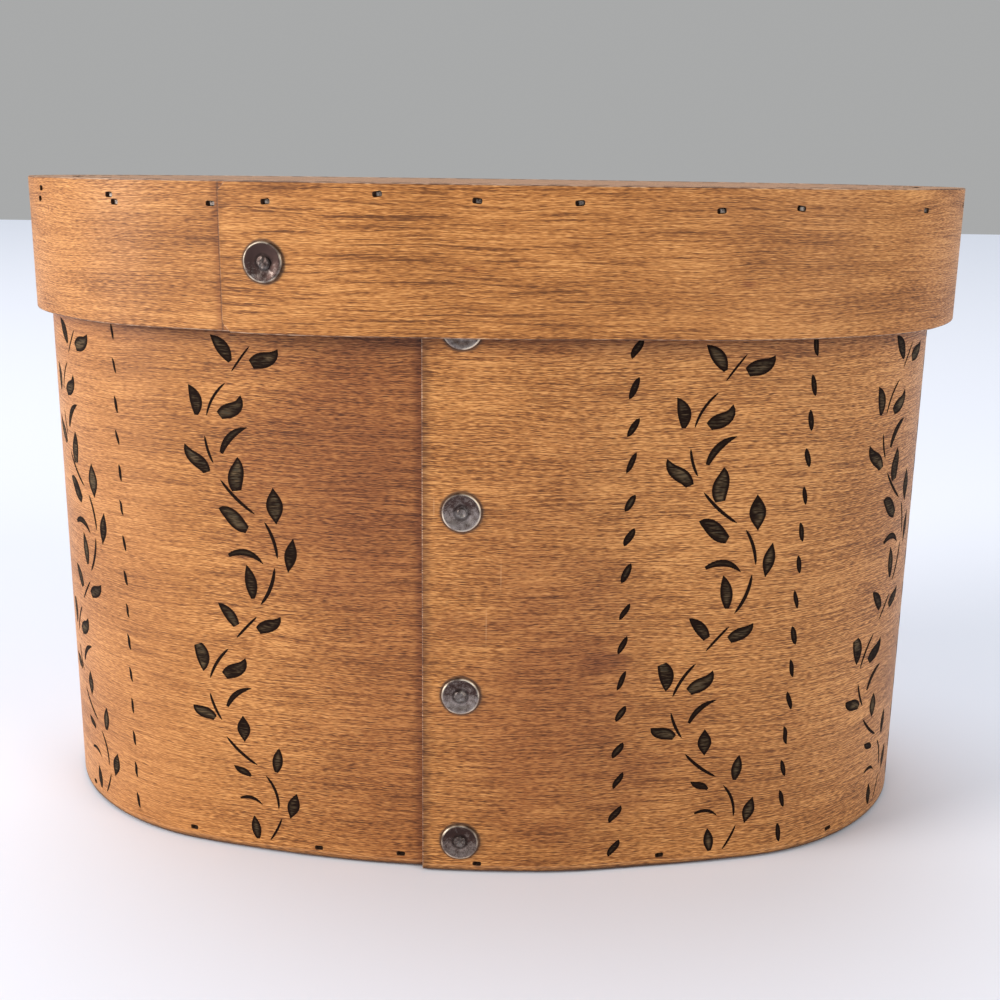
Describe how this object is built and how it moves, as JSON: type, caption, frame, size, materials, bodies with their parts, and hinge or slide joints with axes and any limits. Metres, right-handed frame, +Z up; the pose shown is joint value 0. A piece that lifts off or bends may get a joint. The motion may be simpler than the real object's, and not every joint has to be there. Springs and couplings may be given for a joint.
{
  "type": "bentwood oval box",
  "caption": "Tall oval bentwood box with a lift-off lid: thin wooden bands riveted at their laps round solid boards.",
  "frame": {"origin": "centre of the base, on the surface that the box stands on, midway along and across the body without its lap", "axes": "+X along the long axis of the oval, to the right of someone who faces the laps; +Z up; -Y towards that person"},
  "size_m": [0.2758, 0.1767, 0.185],
  "materials": {
    "band_wood": "satin, stained and lightly varnished",
    "board_wood": "satin, lightly stained",
    "rivet_steel": "dull, hammered over",
    "washer_steel": "dull tinned steel",
    "brad_steel": "dark, driven below the wood"
  },
  "bodies": {
    "box": {"body_band": "band_wood", "bottom_board": "board_wood", "bottom_brads": "brad_steel", "body_rivet_1": "rivet_steel", "body_rivet_2": "rivet_steel", "body_rivet_3": "rivet_steel", "body_rivet_4": "rivet_steel", "body_washer_1": "washer_steel", "body_washer_2": "washer_steel", "body_washer_3": "washer_steel", "body_washer_4": "washer_steel"},
    "lid": {"lid_band": "band_wood", "lid_board": "board_wood", "lid_brads": "brad_steel", "lid_rivet": "rivet_steel", "lid_washer": "washer_steel"}
  },
  "joints": [
    {"name": "lid_lift", "type": "slide", "parent": "box", "child": "lid", "axis": [0, 0, 1], "range_m": [0, 0.06]}
  ]
}
